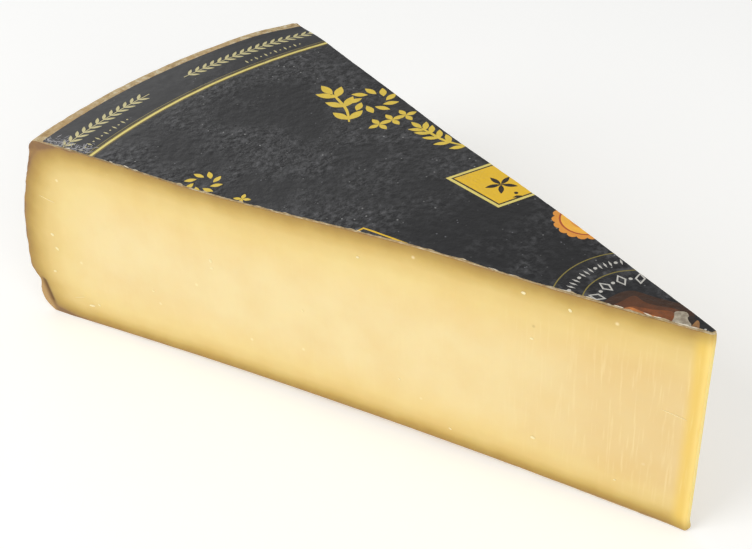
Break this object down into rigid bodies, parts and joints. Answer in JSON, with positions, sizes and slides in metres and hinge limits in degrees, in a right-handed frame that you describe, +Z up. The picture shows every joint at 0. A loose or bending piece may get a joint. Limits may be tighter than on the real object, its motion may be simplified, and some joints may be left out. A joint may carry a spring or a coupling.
{
  "type": "cheese wedge",
  "caption": "Twelfth-of-a-wheel wedge of hard mountain cheese: two flat knife cuts, a natural rind at the heel and underneath, and a printed paper label glued on top.",
  "frame": {"origin": "under the middle of the bounding box, in the plane that the wedge stands on", "axes": "+Z up, +X from the rind side (heel) towards the tip, +Y to the left when looking from heel to tip"},
  "size_m": [0.3404, 0.1744, 0.1034],
  "materials": {
    "cheese": "smooth, slightly oily cut paste; dry mottled brown rind on the outside",
    "label": "printed dark paper with gold, yellow and white ornament, low sheen"
  },
  "bodies": {
    "root": {"cheese": "cheese", "label": "label"}
  },
  "joints": []
}
